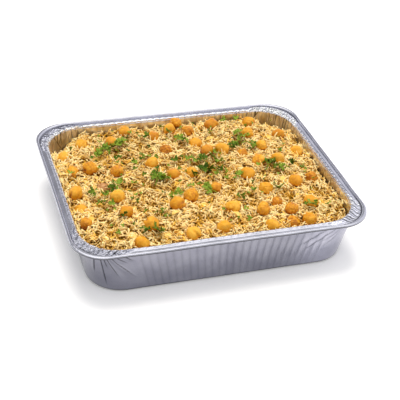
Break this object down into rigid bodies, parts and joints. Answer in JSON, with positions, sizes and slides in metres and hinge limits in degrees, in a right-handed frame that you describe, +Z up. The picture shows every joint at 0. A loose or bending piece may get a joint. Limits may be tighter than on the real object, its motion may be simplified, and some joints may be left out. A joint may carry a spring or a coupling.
{
  "type": "foil tray meal",
  "caption": "Rectangular aluminium foil tray with fluted walls and a rolled rim, filled with a heap of cooked rice set with whole chickpeas.",
  "frame": {"origin": "middle of the tray's flat base, on the surface it stands on", "axes": "+X along the tray's long side, +Y across it towards the back wall, +Z up out of the tray"},
  "size_m": [0.32, 0.2634, 0.0642],
  "materials": {
    "foil": "satin",
    "rice": "matte",
    "chickpea": "satin"
  },
  "bodies": {
    "root": {"foil_tray": "foil", "rice_heap": "rice", "chickpea_01": "chickpea", "chickpea_02": "chickpea", "chickpea_03": "chickpea", "chickpea_04": "chickpea", "chickpea_05": "chickpea", "chickpea_06": "chickpea", "chickpea_07": "chickpea", "chickpea_08": "chickpea", "chickpea_09": "chickpea", "chickpea_10": "chickpea", "chickpea_11": "chickpea", "chickpea_12": "chickpea", "chickpea_13": "chickpea", "chickpea_14": "chickpea", "chickpea_15": "chickpea", "chickpea_16": "chickpea", "chickpea_17": "chickpea", "chickpea_18": "chickpea", "chickpea_19": "chickpea", "chickpea_20": "chickpea", "chickpea_21": "chickpea", "chickpea_22": "chickpea", "chickpea_23": "chickpea", "chickpea_24": "chickpea", "chickpea_25": "chickpea", "chickpea_26": "chickpea", "chickpea_27": "chickpea", "chickpea_28": "chickpea", "chickpea_29": "chickpea", "chickpea_30": "chickpea", "chickpea_31": "chickpea", "chickpea_32": "chickpea", "chickpea_33": "chickpea", "chickpea_34": "chickpea", "chickpea_35": "chickpea", "chickpea_36": "chickpea", "chickpea_37": "chickpea", "chickpea_38": "chickpea", "chickpea_39": "chickpea", "chickpea_40": "chickpea", "chickpea_41": "chickpea", "chickpea_42": "chickpea", "chickpea_43": "chickpea", "chickpea_44": "chickpea", "chickpea_45": "chickpea", "chickpea_46": "chickpea", "chickpea_47": "chickpea", "chickpea_48": "chickpea", "chickpea_49": "chickpea", "chickpea_50": "chickpea", "chickpea_51": "chickpea", "chickpea_52": "chickpea"}
  },
  "joints": []
}
